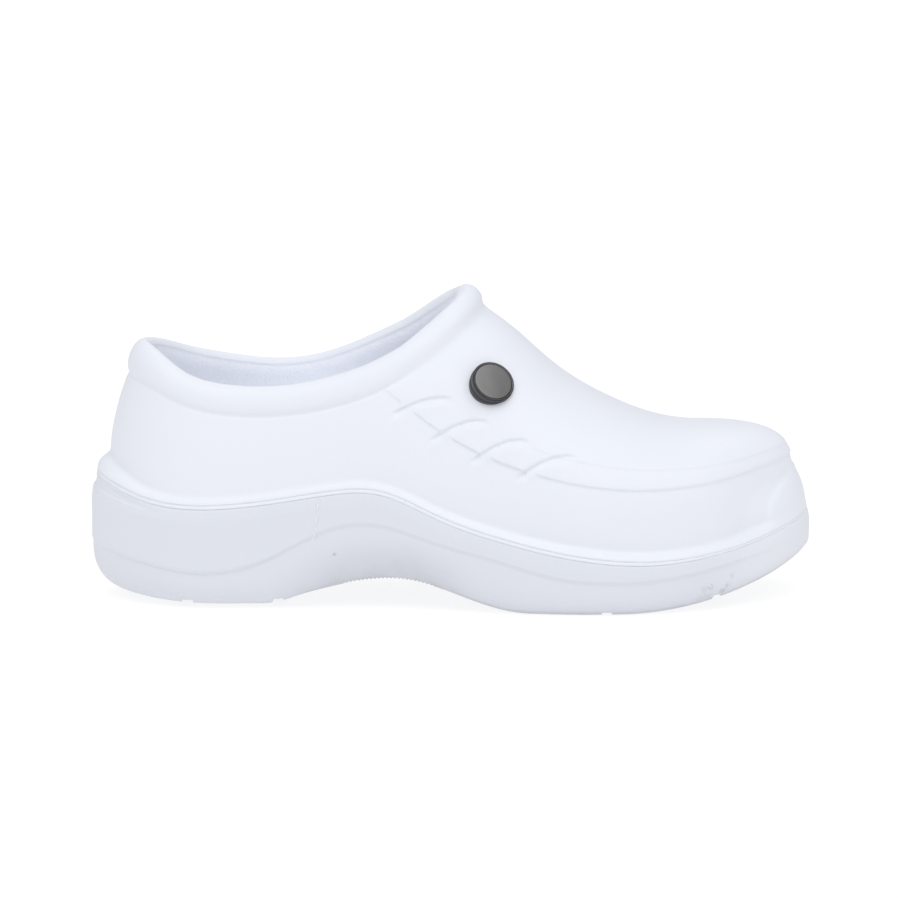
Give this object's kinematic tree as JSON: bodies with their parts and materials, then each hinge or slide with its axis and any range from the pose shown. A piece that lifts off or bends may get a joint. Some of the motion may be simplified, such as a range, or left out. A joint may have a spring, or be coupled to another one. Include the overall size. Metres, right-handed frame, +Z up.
{
  "type": "moulded work clog",
  "caption": "Closed-back slip-on work clog in one-colour foam: hollow upper with rolled collar and raised apron on a cup sole with arch, toe spring and tread channels, round badge on the instep.",
  "frame": {"origin": "under the middle of the shoe's box, on the floor that the sole stands on", "axes": "+X from heel to toe, +Y to the big-toe side, -Y to the little-toe side, +Z up"},
  "size_m": [0.2724, 0.1052, 0.1171],
  "materials": {
    "upper_foam": "matte",
    "sole_foam": "matte",
    "insole_foam": "matte",
    "badge_dark": "satin",
    "badge_satin": "satin"
  },
  "bodies": {
    "root": {"upper": "upper_foam", "sole": "sole_foam", "insole": "insole_foam", "badge_rim": "badge_dark", "badge_face": "badge_satin"}
  },
  "joints": []
}
